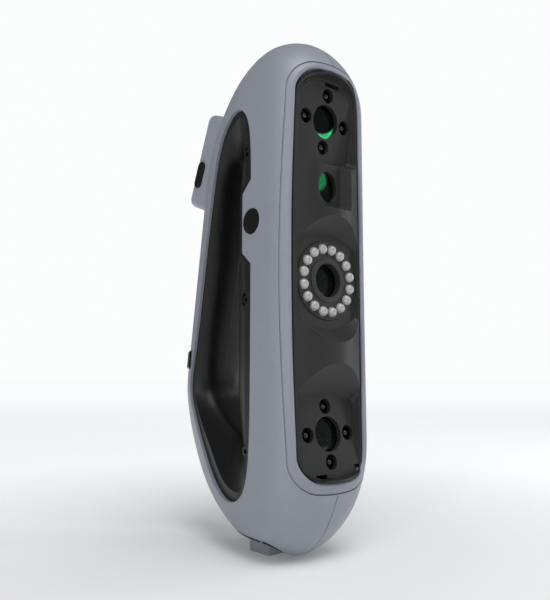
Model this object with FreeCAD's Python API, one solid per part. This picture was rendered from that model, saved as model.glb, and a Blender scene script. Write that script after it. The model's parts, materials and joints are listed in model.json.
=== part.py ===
import FreeCAD, Part
import math
import os

from FreeCAD import Vector

# Handheld 3-D scanner: an upright two-shell body with a grip loop behind it.
# Millimetres, +Z up, the lenses face -Y, the origin is at the bottom centre.
# Left means the -X side.

# ---- driving dimensions: the body's outer form ----
BODY_TOP = 252.6
BODY_BOTTOM = 0.6
BODY_HALF_WIDTH = 27.75
CREST_Y = -59.7                 # foremost line of the front
POLE_Y = -25.7                  # where the top and the bottom close
DEPTH_CENTRE_Y = 2.26           # the finished model is moved forward by this, to centre its depth
FRONT_DEPTH = 17.3              # from the crest back to the widest line
SPINE_Y, SPINE_Z, SPINE_SLOPE = 63.4, 76.0, -0.175
REAR_FULLNESS = 2.1             # of the plan section behind the widest line
# each end of a profile starts to close at START and closes with FULLNESS
FRONT_TOP_START, FRONT_TOP_FULLNESS = 214.0, 2.1
FRONT_BOTTOM_START, FRONT_BOTTOM_FULLNESS = 50.8, 1.5
REAR_TOP_START, REAR_TOP_FULLNESS = 187.5, 2.04
REAR_BOTTOM_START, REAR_BOTTOM_FULLNESS = 82.0, 1.36
WIDTH_TOP_START, WIDTH_TOP_FULLNESS = 207.0, 2.9
WIDTH_BOTTOM_START, WIDTH_BOTTOM_FULLNESS = 44.5, 3.2
POLE_ANGLE = math.radians(86.5)
LEVELS = 30                     # section rows of the body surface
HALF_COLUMNS = 11               # section points in front of and behind the widest line

# ---- the step in the underside that the foot stands in ----
NOTCH_FRONT_Y, NOTCH_TOP, NOTCH_RADIUS = -30.5, 9.0, 3.5

# ---- walls and gaps ----
SHELL_WALL = 2.2
CORE_WALL = 2.2
FIT_GAP = 0.1
PARTING_GAP = 0.2

# ---- front bezel and optics panel (half widths, heights) ----
BEZEL_BACK_Y = -46.5
BEZEL_OUTER = dict(mid=26.9, corner=24.4, top=232.1, bottom=32.0, crown=2.6, radius=16.0)
BEZEL_INNER = dict(mid=22.2, corner=20.4, top=227.9, bottom=37.4, crown=1.8, radius=12.5)
BEZEL_ROUNDING = 1.4
PANEL_CREST_Y = -57.9
PANEL_RADIUS = 32.4
PANEL_WALL = 2.4
FRONT_Y = -75.0                 # in front of everything, where front cutters start

# ---- cameras, projector and lights: plate centre (y, z) and tilt in degrees ----
TOP_CAMERA = (-49.8, 206.2, 8.85)
PROJECTOR = (-50.9, 173.4, 0.0)
TEXTURE_CAMERA = (-49.5, 128.6, 0.0)
BOTTOM_CAMERA = (-49.6, 58.05, -9.3)
LENS_HOLE_R = 8.0
PROJECTOR_HOLE = (5.8, 7.5)     # half width, half height
RING_LED_COUNT = 16
RING_RADIUS = 15.0
LED_R = 2.5
CROSS_RADIUS = 12.5
CROSS_HOLE_R = 3.5

# ---- side window and finger gap ----
# control points of the closed outline: (y, z) at the outer skin, (y, z) on the mid plane,
# and which flare the point follows between the two
GAP_POINTS = [
    ((-26.6, 128.0), (-4.4, 128.0), "front"),
    ((-26.6, 168.0), (-4.4, 158.0), "front"),
    ((-26.6, 198.0), (-4.4, 182.0), "front"),
    ((-22.8, 213.6), (-3.6, 195.0), "end"),
    ((-9.6, 220.2), (3.4, 200.5), "end"),
    ((4.6, 213.2), (10.0, 194.5), "end"),
    ((12.4, 199.6), (12.8, 182.5), "rear"),
    ((18.2, 179.0), (15.6, 168.0), "rear"),
    ((24.2, 154.0), (19.2, 149.0), "rear"),
    ((29.2, 131.4), (23.2, 129.0), "rear"),
    ((34.0, 108.4), (27.4, 110.0), "rear"),
    ((39.8, 91.5), (31.4, 92.0), "rear"),
    ((44.8, 75.2), (33.0, 78.0), "rear"),
    ((35.6, 62.8), (25.0, 68.0), "rear"),
    ((20.2, 40.0), (13.0, 60.0), "end"),
    ((3.6, 24.4), (4.0, 54.0), "end"),
    ((-10.6, 24.0), (-2.2, 52.6), "end"),
    ((-23.2, 30.4), (-4.4, 60.0), "end"),
    ((-26.4, 52.0), (-4.4, 73.0), "front"),
    ((-26.6, 88.0), (-4.4, 98.0), "front"),
]
GAP_LEVELS = [0.0, 6.0, 10.0, 13.0, 16.0, 18.0, 20.0, 22.0, 24.0, 25.5, 27.5, 32.0]
# where each flare starts, how far it runs along X, and its power
FLARES = {"front": (17.0, 10.5, 1.5), "rear": (6.0, 14.0, 2.0), "end": (6.0, 19.0, 2.0)}

# ---- side tab and its badge ----
TAB_TOP, TAB_BOTTOM, TAB_REACH, TAB_BEVEL = 178.0, 137.0, 7.2, 6.0
TAB_ROOT_Y = -28.0
TAB_RIM, TAB_RIM_DROP, TAB_INNER_X = 2.4, 0.5, 20.0
GRIP_SPLIT_Y = 3.0              # the core ends and the grip begins here
BADGE_X, BADGE_Y, BADGE_Z, BADGE_R, BADGE_DEPTH = 26.7, -27.3, 157.1, 6.1, 1.15
BADGE_GROOVE_INSET, BADGE_GROOVE_WIDTH, BADGE_GROOVE_DEPTH = 1.0, 0.5, 0.2

# ---- screws ----
CORE_SCREW_Y = -17.8
CORE_SCREW_Z = (193.6, 120.9, 49.1)
SCREW_HEAD_R, SCREW_HEAD_H, SCREW_SHANK_R = 2.7, 1.8, 1.45
SCREW_SEAT_CLEARANCE, SHANK_CLEARANCE, THREAD_CLEARANCE = 0.6, 0.1, 0.05
SCREW_SEAT_X, SCREW_TIP_X = 21.4, 12.0
BOSS_R = 5.0
LUG_X, LUG_HALF, LUG_BACK_Y = 17.5, 5.0, -13.5

# ---- pockets of the optics panel, in each plate's own frame ----
POCKET_DEPTH = 16.0
TOP_POCKET = dict(half=17.2, low=-17.5, low_rise=2.0, high=15.0, high_rise=5.0, corner=2.5,
                  side_flare=0.38, low_flare=0.35, high_flare=0.3)
PROJECTOR_POCKET = dict(half=8.4, low=-9.3, low_rise=0.4, high=12.2, high_rise=0.4, corner=2.0,
                        side_flare=0.5, low_flare=0.3, high_flare=0.1)
TEXTURE_POCKET = dict(half=18.9, low=-16.4, low_rise=6.0, high=16.4, high_rise=6.0, corner=2.0,
                      side_flare=0.35, low_flare=0.8, high_flare=0.85)
BOTTOM_POCKET = dict(half=18.0, low=-16.5, low_rise=2.5, high=14.6, high_rise=2.2, corner=2.0,
                     side_flare=0.35, low_flare=0.3, high_flare=1.0)
VENT_SLOTS = [(2.0, 223.9, 9.2, 2.0), (-7.0, 39.6, 7.0, 1.8), (15.8, 42.2, 3.4, 2.8)]

# ---- lights and lenses, as depths behind the front of each plate ----
LED_PLATE_R, LED_PLATE_DEPTH, LED_PLATE_PROUD, LIP_R = 18.5, 1.2, 0.4, 10.4
LED_CENTRE_DEPTH, LED_BACK_DEPTH, LED_FLANGE, LED_FLANGE_REACH = -0.2, 4.4, 1.0, 0.4
RING_PHASE = 0.5
CROSS_LED_R, CROSS_LED_DEPTH, CROSS_BOARD_DEPTH = 1.5, 2.2, 5.4
BOARD = 1.6
LENS_R, LENS_FRONT, LENS_BACK, BARREL_WALL, BARREL_STOP = 8.6, 2.5, 14.0, 1.8, 3.0
GLASS_THICKNESS, GLASS_BULGE = 2.0, 0.6
CAMERA_HALF, CAMERA_BACK = 11.0, 21.0
PROJECTOR_HALF, PROJECTOR_BACK = 9.0, 24.0

# ---- bench, posts and boards ----
CORE_FRONT_Y = -44.0
BENCH_HALF, BENCH_FRONT_Y, BENCH_BACK_Y, BENCH_BOTTOM, BENCH_TOP = 17.0, -23.5, -20.5, 40.0, 216.0
BENCH_HOLES = [(84.0, 7.0), (103.0, 6.0), (150.0, 5.0)]
PAD_HALF = 8.0
POST_X, POST_Z, POST_R, POST_FRONT_Y, POST_HOLE_DEPTH = 13.5, (90.0, 153.0), 3.2, -52.4, 9.0
BOARD_HALF, BOARD_Y = 15.0, -15.0
SINK_HALF, SINK_BOTTOM, SINK_TOP, SINK_HEIGHT, FIN_COUNT, FIN_THICKNESS = 9.0, 140.0, 168.0, 5.0, 6, 1.2
SPACER_X, SPACER_Z = 11.5, (132.0, 182.5)

# ---- pod on the upper back: place and tilt of its rear face, then its own frame ----
POD = (43.6, 209.7, 23.1)
POD_HALF_WIDTH, POD_HALF_HEIGHT, POD_DEPTH = 12.3, 27.1, 30.0
POD_RADIUS, POD_EDGE, POD_WALL, POD_BAY_DEPTH, POD_BOARD_Y = 4.6, 2.0, 2.0, 15.0, -10.4
DISPLAY_HALF, DISPLAY_BOTTOM, DISPLAY_TOP, DISPLAY_DEPTH = 8.0, 5.0, 22.0, 1.2
KEY_Y, KEY_Z, KEY_HALF_WIDTH, KEY_HALF_HEIGHT, KEY_PROUD = -5.3, -8.1, 3.3, 7.6, 0.9
KEY_STOP, KEY_STOP_GAP = 0.8, 0.15
BUTTON_BACK = -3.2
# name, x, z, radius, how proud it stands, travel
POD_BUTTONS = [
    ("scan_button", 0.0, -14.4, 5.6, 1.6, 1.5),
    ("plus_key", 4.8, -2.8, 2.6, 0.9, 0.8),
    ("minus_key", -4.8, -2.8, 2.6, 0.9, 0.8),
]

# ---- foot, port and strap band ----
FOOT_HALF_WIDTH, FOOT_FRONT_Y, FOOT_REAR_Y, FOOT_SHADOW = 10.2, -18.8, -3.4, 0.6
FOOT_RADIUS, STEM_HALF, STEM_INSET, STEM_TOP = 1.8, 5.0, 3.0, 11.5
PORT_Y, PORT_R, PORT_WALL, PORT_TOP = 13.0, 6.0, 1.4, 24.0
BAND_BOTTOM, BAND_TOP, BAND_PROUD, BAND_FRONT_Y, BAND_ROUNDING = 88.6, 98.6, 1.4, 43.5, 1.0

parts = {}


def closing(t, fullness):
    """1 where a profile is at full size, falling to 0 where it closes."""
    return math.sqrt(1 - min(max(t, 0.0), 1.0) ** fullness)


def both_ends(z, top, bottom, top_form, bottom_form):
    """How far a profile is open at height z, from its closing forms at the two ends."""
    top_start, top_fullness = top_form
    bottom_start, bottom_fullness = bottom_form
    upper = closing((z - top_start) / (top - top_start), top_fullness)
    lower = closing((bottom_start - z) / (bottom_start - bottom), bottom_fullness)
    return upper * lower


def section(z, inset, top, bottom):
    """Points of the right half of the plan section at height z, front to rear."""
    front_open = both_ends(z, top, bottom, (FRONT_TOP_START, FRONT_TOP_FULLNESS),
                           (FRONT_BOTTOM_START, FRONT_BOTTOM_FULLNESS))
    rear_open = both_ends(z, top, bottom, (REAR_TOP_START, REAR_TOP_FULLNESS),
                          (REAR_BOTTOM_START, REAR_BOTTOM_FULLNESS))
    width_open = both_ends(z, top, bottom, (WIDTH_TOP_START, WIDTH_TOP_FULLNESS),
                           (WIDTH_BOTTOM_START, WIDTH_BOTTOM_FULLNESS))
    spine = SPINE_Y - inset + SPINE_SLOPE * (z - SPINE_Z)
    front = POLE_Y + (CREST_Y + inset - POLE_Y) * front_open
    rear = POLE_Y + (spine - POLE_Y) * rear_open
    half_width = (BODY_HALF_WIDTH - inset) * width_open
    depth = min(FRONT_DEPTH, 0.42 * (rear - front))
    quarter = math.pi / 2 / HALF_COLUMNS
    points = []
    for i in range(HALF_COLUMNS + 1):
        a = i * quarter
        points.append(Vector(half_width * math.sin(a), front + depth * (1 - math.cos(a)), z))
    for i in range(1, HALF_COLUMNS + 1):
        t = math.sin(i * quarter)
        points.append(Vector(half_width * closing(t, REAR_FULLNESS),
                             front + depth + (rear - front - depth) * t, z))
    points[0].x = 0
    points[-1].x = 0
    return points


def underside_notch(inset):
    """The part of the right half that the step in the underside takes away, grown by inset."""
    front, top = NOTCH_FRONT_Y - inset, NOTCH_TOP + inset
    notch = box(-1, 40, front, 40, -5, top)
    return rounded(notch, NOTCH_RADIUS + inset, lambda edge: edge.BoundBox.YMax < front + 0.01
                   and edge.BoundBox.ZMin > top - 0.01)


def half_body(inset=0.0):
    """Right half (X >= 0) of the body's outer form as a solid, moved inwards by inset."""
    top, bottom = BODY_TOP - inset, BODY_BOTTOM + inset
    middle, reach = (top + bottom) / 2, (top - bottom) / 2
    rows = []
    for level in range(LEVELS + 1):
        angle = POLE_ANGLE * (2 * level / LEVELS - 1)
        rows.append(section(middle + reach * math.sin(angle), inset, top, bottom))
    surface = Part.BSplineSurface()
    surface.interpolate(rows)
    skin = surface.toShape()
    profiles, caps = [], []
    for edge in skin.Edges:
        if edge.BoundBox.ZLength > 1:
            profiles.append(edge)
        else:
            caps.append(edge)
    chords, faces = [], [skin]
    for edge in caps:
        ends = [vertex.Point for vertex in edge.Vertexes]
        chord = Part.makeLine(ends[0], ends[-1])
        chords.append(chord)
        faces.append(Part.Face(Part.Wire([edge, chord])))
    outline = Part.Wire(Part.__sortEdges__(profiles + chords))
    faces.append(Part.Face(outline))
    shell = Part.Shell(faces)
    shell.sewShape()
    solid = Part.Solid(shell)
    if solid.Volume < 0:
        solid.reverse()
    return solid.cut(underside_notch(inset))


def mirrored(shape):
    """The same shape on the other side of the mid plane."""
    return shape.mirror(Vector(0, 0, 0), Vector(1, 0, 0))


def box(x0, x1, y0, y1, z0, z1):
    """A box between two corners."""
    return Part.makeBox(x1 - x0, y1 - y0, z1 - z0, Vector(x0, y0, z0))


def rod(x, y0, y1, z, radius):
    """A cylinder along Y."""
    return Part.makeCylinder(radius, y1 - y0, Vector(x, y0, z), Vector(0, 1, 0))


def tube(y0, y1, outer, inner):
    """A tube along Y about the local axis."""
    return rod(0, y0, y1, 0, outer).cut(rod(0, y0 - 1, y1 + 1, 0, inner))


def rounded(shape, radius, wanted):
    """Round the edges that wanted picks."""
    edges = [edge for edge in shape.Edges if wanted(edge)]
    return shape.makeFillet(radius, edges)


def along(axis):
    """An edge test: is the edge a straight line along this axis?"""
    def test(edge):
        if edge.Curve.TypeId != "Part::GeomLine":
            return False
        direction = edge.tangentAt(edge.FirstParameter)
        return abs(direction.dot(axis)) > 0.999
    return test


X_AXIS, Y_AXIS, Z_AXIS = Vector(1, 0, 0), Vector(0, 1, 0), Vector(0, 0, 1)


def at_plate(shape, plate):
    """Move a shape from its plate's own frame (front is -Y) to its place in the body."""
    y, z, tilt = plate
    moved = shape.copy()
    moved.rotate(Vector(0, 0, 0), X_AXIS, tilt)
    moved.translate(Vector(0, y, z))
    return moved


def opening(form, back_y, grow=0.0):
    """Prism along Y with the bulged, round-cornered outline of the front opening."""
    corner, mid = form["corner"] + grow, form["mid"] + grow
    top, bottom = form["top"] + grow, form["bottom"] - grow
    crown, radius = form["crown"], form["radius"] + grow
    high, low = top - crown, bottom + crown
    centre = (top + bottom) / 2
    y = FRONT_Y
    edges = [
        Part.Arc(Vector(corner, y, low), Vector(mid, y, centre), Vector(corner, y, high)),
        Part.Arc(Vector(corner, y, high), Vector(0, y, top), Vector(-corner, y, high)),
        Part.Arc(Vector(-corner, y, high), Vector(-mid, y, centre), Vector(-corner, y, low)),
        Part.Arc(Vector(-corner, y, low), Vector(0, y, bottom), Vector(corner, y, low)),
    ]
    outline = Part.Wire([arc.toShape() for arc in edges])
    prism = Part.Face(outline).extrude(Vector(0, back_y - FRONT_Y, 0))
    return rounded(prism, radius, along(Y_AXIS))


def flare(x, kind):
    """How far a gap point has moved from the mid plane outline to the skin outline."""
    start, run, power = FLARES[kind]
    return min(max((x - start) / run, 0.0), 1.0) ** power


def moved_outwards(points, distance):
    """The closed outline moved outwards along its normals."""
    moved = []
    for i, point in enumerate(points):
        before, after = points[i - 1], points[(i + 1) % len(points)]
        run_y, run_z = after[0] - before[0], after[1] - before[1]
        length = math.hypot(run_y, run_z)
        moved.append((point[0] - distance * run_z / length, point[1] + distance * run_y / length))
    return moved


def gap_poles(x, grow=0.0):
    """Control points of the finger gap's outline at distance x from the mid plane."""
    points = []
    for (skin_y, skin_z), (mid_y, mid_z), kind in GAP_POINTS:
        k = flare(x, kind)
        points.append((mid_y + k * (skin_y - mid_y), mid_z + k * (skin_z - mid_z)))
    return [Vector(x, y, z) for y, z in moved_outwards(points, grow)]


def half_gap(grow=0.0):
    """Right half of the finger gap, flaring out to the side window."""
    rows = [gap_poles(x, grow) for x in GAP_LEVELS]
    round_count, level_count = len(GAP_POINTS), len(GAP_LEVELS)
    spans = level_count - 3
    surface = Part.BSplineSurface()
    surface.buildFromPolesMultsKnots(
        [[row[i] for row in rows] for i in range(round_count)],
        [1] * (round_count + 1), [4] + [1] * (spans - 1) + [4],
        list(range(round_count + 1)), list(range(spans + 1)),
        True, False, 3, 3)
    wall = surface.toShape()
    faces = [wall]
    for edge in wall.Edges:
        if edge.BoundBox.XLength < 0.01:
            faces.append(Part.Face(Part.Wire(edge)))
    shell = Part.Shell(faces)
    shell.sewShape()
    solid = Part.Solid(shell)
    if solid.Volume < 0:
        solid.reverse()
    return solid


def tab_outline(grow):
    """The tab that juts rearward into the side window, as a prism along X."""
    reach = TAB_ROOT_Y + TAB_REACH + grow + 1.5
    top, bottom = TAB_TOP + grow, TAB_BOTTOM - grow
    points = [
        (TAB_ROOT_Y, top + TAB_BEVEL * 0.2),
        (TAB_ROOT_Y + 1.5, top),
        (reach, top - TAB_BEVEL),
        (reach, bottom + TAB_BEVEL),
        (TAB_ROOT_Y + 1.5, bottom),
        (TAB_ROOT_Y, bottom - TAB_BEVEL * 0.2),
    ]
    corners = [Vector(TAB_INNER_X, y, z) for y, z in points]
    return Part.Face(Part.makePolygon(corners + corners[:1])).extrude(Vector(15, 0, 0))


def side_window():
    """Prism along X that cuts the window out of the right shell, leaving the tab."""
    outline = Part.BSplineCurve()
    outline.buildFromPoles(gap_poles(GAP_LEVELS[-1]), True, 3)
    prism = Part.Face(Part.Wire(outline.toShape())).extrude(Vector(-GAP_LEVELS[-1], 0, 0))
    return prism.cut(tab_outline(0))


def on_opening_wall(edge, form):
    """Is this edge of the bezel's right half the front rim of its inner opening?"""
    if edge.BoundBox.YMax > BEZEL_BACK_Y - 1.0 or edge.BoundBox.XMax < 0.01:
        return False
    middle = edge.valueAt((edge.FirstParameter + edge.LastParameter) / 2)
    return abs(middle.x) < form["mid"] + 0.1 and form["bottom"] - 0.1 < middle.z < form["top"] + 0.1


# ---- casing ----
def make_casing():
    """The two grey shells, the black core halves and the front bezel."""
    outer_half = half_body()
    body = outer_half.fuse(mirrored(outer_half))
    shell_half = outer_half.cut(half_body(SHELL_WALL))
    shell_half = shell_half.cut(opening(BEZEL_OUTER, BEZEL_BACK_Y))
    shell_half = shell_half.cut(side_window())
    badge_recess = Part.makeCylinder(BADGE_R + FIT_GAP, 10, Vector(BADGE_X, BADGE_Y, BADGE_Z), X_AXIS)
    shell_half = shell_half.cut(badge_recess)

    core_half = half_body(SHELL_WALL + FIT_GAP)
    solid_core = core_half.cut(half_gap())
    hollow = half_body(SHELL_WALL + CORE_WALL).cut(half_gap(CORE_WALL))
    core = solid_core.cut(hollow)
    core = core.cut(box(-1, 40, FRONT_Y, CORE_FRONT_Y, 0, 260))
    tab_back = core_half.common(tab_outline(TAB_RIM)).cut(hollow)
    tab_rim = half_body(TAB_RIM_DROP).common(tab_outline(TAB_RIM)).cut(tab_outline(FIT_GAP))
    core = core.fuse(tab_back).fuse(tab_rim.common(side_window()))
    for z in CORE_SCREW_Z:
        boss = Part.makeCylinder(BOSS_R, 12, Vector(LUG_X, CORE_SCREW_Y, z), X_AXIS)
        core = core.fuse(boss.common(solid_core))
        seat = Part.makeCylinder(SCREW_HEAD_R + SCREW_SEAT_CLEARANCE, 12,
                                 Vector(SCREW_SEAT_X, CORE_SCREW_Y, z), X_AXIS)
        hole = Part.makeCylinder(SCREW_SHANK_R + SHANK_CLEARANCE, 12,
                                 Vector(LUG_X - 1, CORE_SCREW_Y, z), X_AXIS)
        core = core.cut(seat).cut(hole)

    pod_bay = at_plate(box(-POD_HALF_WIDTH + POD_WALL, POD_HALF_WIDTH - POD_WALL, -POD_BAY_DEPTH, 0,
                           -POD_HALF_HEIGHT + POD_WALL, POD_HALF_HEIGHT - POD_WALL), POD)
    port_bore = Part.makeCylinder(PORT_R + FIT_GAP, PORT_TOP + 1, Vector(0, PORT_Y, 0))
    stem_bore = foot_stem(FIT_GAP)
    for cutter in (pod_bay, port_bore, stem_bore):
        shell_half = shell_half.cut(cutter)
        core = core.cut(cutter)

    parts["shell_left"], parts["shell_right"] = mirrored(shell_half), shell_half
    grip = core.common(box(-1, 40, GRIP_SPLIT_Y, 90, 0, 260))
    core = core.cut(box(-1, 40, GRIP_SPLIT_Y, 90, 0, 260))
    parts["core_left"], parts["core_right"] = mirrored(core), core
    parts["grip_left"], parts["grip_right"] = mirrored(grip), grip

    bezel_half = outer_half.common(opening(BEZEL_OUTER, BEZEL_BACK_Y, -PARTING_GAP))
    bezel_half = bezel_half.cut(opening(BEZEL_INNER, BEZEL_BACK_Y + 1))
    bezel_half = rounded(bezel_half, BEZEL_ROUNDING, lambda edge: on_opening_wall(edge, BEZEL_INNER))
    parts["front_bezel"] = bezel_half.fuse(mirrored(bezel_half)).removeSplitter()
    return body


def make_core_screws():
    """Six counterbored screws, three a side, that hold the core halves to the frame."""
    screws = []
    for z in CORE_SCREW_Z:
        head = Part.makeCylinder(SCREW_HEAD_R, SCREW_HEAD_H, Vector(SCREW_SEAT_X, CORE_SCREW_Y, z), X_AXIS)
        head = rounded(head, 0.4, lambda edge: edge.BoundBox.XMin > SCREW_SEAT_X + 1)
        socket = hexagon(1.25, 1.3)
        socket.rotate(Vector(0, 0, 0), Y_AXIS, 90)
        socket.translate(Vector(SCREW_SEAT_X + SCREW_HEAD_H - 1.3, CORE_SCREW_Y, z))
        shank = Part.makeCylinder(SCREW_SHANK_R, SCREW_SEAT_X - SCREW_TIP_X,
                                  Vector(SCREW_TIP_X, CORE_SCREW_Y, z), X_AXIS)
        screw = head.fuse(shank).cut(socket)
        screws += [screw, mirrored(screw)]
    parts["core_screws"] = Part.makeCompound(screws)


def hexagon(radius, height):
    """A hexagonal prism along +Z from the origin."""
    corners = [Vector(radius * math.cos(math.radians(60 * i)), radius * math.sin(math.radians(60 * i)), 0)
               for i in range(6)]
    return Part.Face(Part.makePolygon(corners + corners[:1])).extrude(Vector(0, 0, height))


def make_badges():
    """A plain round badge on each tab."""
    badge = Part.makeCylinder(BADGE_R, BADGE_DEPTH, Vector(BADGE_X, BADGE_Y, BADGE_Z), X_AXIS)
    floor = Vector(BADGE_X + BADGE_DEPTH - BADGE_GROOVE_DEPTH, BADGE_Y, BADGE_Z)
    groove_r = BADGE_R - BADGE_GROOVE_INSET
    groove = Part.makeCylinder(groove_r, 1, floor, X_AXIS)
    groove = groove.cut(Part.makeCylinder(groove_r - BADGE_GROOVE_WIDTH, 1, floor, X_AXIS))
    badge = badge.cut(groove)
    parts["badge_right"] = badge
    parts["badge_left"] = mirrored(badge)


# ---- optics panel ----
def pocket_outline(form, grow, y, spread):
    """Outline of a pocket in its plate's frame: straight sides, bowed ends."""
    half = form["half"] + grow + spread * form["side_flare"]
    low = form["low"] - grow - spread * form["low_flare"]
    high = form["high"] + grow + spread * form["high_flare"]
    edges = [
        Part.LineSegment(Vector(half, y, low), Vector(half, y, high)),
        Part.Arc(Vector(half, y, high), Vector(0, y, high + form["high_rise"]), Vector(-half, y, high)),
        Part.LineSegment(Vector(-half, y, high), Vector(-half, y, low)),
        Part.Arc(Vector(-half, y, low), Vector(0, y, low - form["low_rise"]), Vector(half, y, low)),
    ]
    return Part.Wire([edge.toShape() for edge in edges])


def pocket(plate, form, grow=0.0):
    """The stepped recess round one lens, open to the front; grown, it is the recess's outer wall."""
    floor = pocket_outline(form, grow, grow, 0.0)
    mouth = pocket_outline(form, grow, -POCKET_DEPTH, POCKET_DEPTH)
    solid = Part.makeLoft([floor, mouth], True, True)
    slanted = [edge for edge in solid.Edges
               if abs(edge.Vertexes[0].Point.y - edge.Vertexes[-1].Point.y) > POCKET_DEPTH / 2]
    solid = solid.makeFillet(form["corner"] + grow, slanted)
    return at_plate(solid, plate)


def barrel(radius):
    """The cylinder whose front is the panel's rounded face."""
    return Part.makeCylinder(radius, 260, Vector(0, PANEL_CREST_Y + PANEL_RADIUS, 0))


def cross_places():
    """Where the four small LEDs sit round an outer camera, in the plate's frame."""
    return [(CROSS_RADIUS, 0), (0, CROSS_RADIUS), (-CROSS_RADIUS, 0), (0, -CROSS_RADIUS)]


def ring_places():
    """Where the ring LEDs sit round the texture camera, in the plate's frame."""
    step = 2 * math.pi / RING_LED_COUNT
    angles = [(i + RING_PHASE) * step for i in range(RING_LED_COUNT)]
    return [(RING_RADIUS * math.sin(angle), RING_RADIUS * math.cos(angle)) for angle in angles]


def oval(half_width, half_height, y0, y1):
    """An elliptic prism along Y in the plate's frame."""
    ellipse = Part.Ellipse(Vector(0, y0, half_height), Vector(half_width, y0, 0), Vector(0, y0, 0))
    return Part.Face(Part.Wire(ellipse.toShape())).extrude(Vector(0, y1 - y0, 0))


def make_panel():
    """The black optics panel with its pockets, lens holes and mounting posts."""
    pockets = [(TOP_CAMERA, TOP_POCKET), (PROJECTOR, PROJECTOR_POCKET),
               (TEXTURE_CAMERA, TEXTURE_POCKET), (BOTTOM_CAMERA, BOTTOM_POCKET)]
    outline = opening(BEZEL_INNER, BEZEL_BACK_Y + 4, -PARTING_GAP)
    front = barrel(PANEL_RADIUS)
    panel = opening(BEZEL_INNER, BEZEL_BACK_Y, -PARTING_GAP).common(front)
    hollow = opening(BEZEL_INNER, BEZEL_BACK_Y + 5, -PANEL_WALL).common(barrel(PANEL_RADIUS - PANEL_WALL))
    panel = panel.cut(hollow)
    for plate, form in pockets:
        panel = panel.fuse(pocket(plate, form, PANEL_WALL).common(outline).common(front))
    for x in (-POST_X, POST_X):
        for z in POST_Z:
            panel = panel.fuse(rod(x, POST_FRONT_Y, BENCH_FRONT_Y, z, POST_R))
            panel = panel.cut(rod(x, BENCH_FRONT_Y - POST_HOLE_DEPTH, BENCH_FRONT_Y + 1, z,
                                  SCREW_SHANK_R + THREAD_CLEARANCE))
    for plate, form in pockets:
        panel = panel.cut(pocket(plate, form))
    for plate in (TOP_CAMERA, BOTTOM_CAMERA):
        panel = panel.cut(at_plate(rod(0, -1, 6, 0, LENS_HOLE_R), plate))
        for x, z in cross_places():
            panel = panel.cut(at_plate(rod(x, -1, 6, z, CROSS_HOLE_R), plate))
    panel = panel.cut(at_plate(oval(PROJECTOR_HOLE[0], PROJECTOR_HOLE[1], -1, 6), PROJECTOR))
    panel = panel.cut(at_plate(rod(0, -1, LED_PLATE_DEPTH, 0, LED_PLATE_R + FIT_GAP), TEXTURE_CAMERA))
    panel = panel.cut(at_plate(rod(0, -1, 6, 0, LENS_HOLE_R), TEXTURE_CAMERA))
    for x, z in ring_places():
        panel = panel.cut(at_plate(rod(x, -1, 6, z, LED_R + FIT_GAP), TEXTURE_CAMERA))
    for x, z, length, height in VENT_SLOTS:
        panel = panel.cut(box(x - length / 2, x + length / 2, FRONT_Y, BEZEL_BACK_Y + 6,
                              z - height / 2, z + height / 2))
    parts["optics_panel"] = panel


def make_ring_lights():
    """The round plate in the middle pocket, its sixteen LEDs and the board behind them."""
    plate = tube(-LED_PLATE_PROUD, LED_PLATE_DEPTH, LED_PLATE_R, LENS_HOLE_R)
    lip = tube(-LED_PLATE_PROUD - 0.8, 0, LIP_R, LENS_HOLE_R)
    plate = plate.fuse(rounded(lip, 0.6, lambda edge: edge.BoundBox.YMax < -LED_PLATE_PROUD - 0.7
                               and edge.BoundBox.XMax > LIP_R - 0.5))
    leds = []
    for x, z in ring_places():
        plate = plate.cut(rod(x, -3, 3, z, LED_R + FIT_GAP))
        led = rod(x, LED_CENTRE_DEPTH, LED_BACK_DEPTH, z, LED_R)
        led = led.fuse(Part.makeSphere(LED_R, Vector(x, LED_CENTRE_DEPTH, z)))
        led = led.fuse(rod(x, LED_BACK_DEPTH - LED_FLANGE, LED_BACK_DEPTH, z, LED_R + LED_FLANGE_REACH))
        leds.append(at_plate(led.removeSplitter(), TEXTURE_CAMERA))
    parts["ring_led_plate"] = at_plate(plate, TEXTURE_CAMERA)
    parts["ring_leds"] = Part.makeCompound(leds)
    board = tube(LED_BACK_DEPTH, LED_BACK_DEPTH + BOARD, LED_PLATE_R, LENS_R + 0.3)
    parts["ring_led_board"] = at_plate(board, TEXTURE_CAMERA)


def make_tracking_lights(name, plate):
    """Four small LEDs in a cross round an outer camera, and their ring board."""
    leds = []
    for x, z in cross_places():
        led = rod(x, CROSS_LED_DEPTH, CROSS_BOARD_DEPTH, z, CROSS_LED_R)
        led = led.fuse(Part.makeSphere(CROSS_LED_R, Vector(x, CROSS_LED_DEPTH, z)))
        leds.append(at_plate(led, plate))
    parts[name + "_tracking_leds"] = Part.makeCompound(leds)
    board = tube(CROSS_BOARD_DEPTH, CROSS_BOARD_DEPTH + BOARD, CROSS_RADIUS + 3.2, LENS_R + 0.3)
    parts[name + "_tracking_board"] = at_plate(board, plate)


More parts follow.
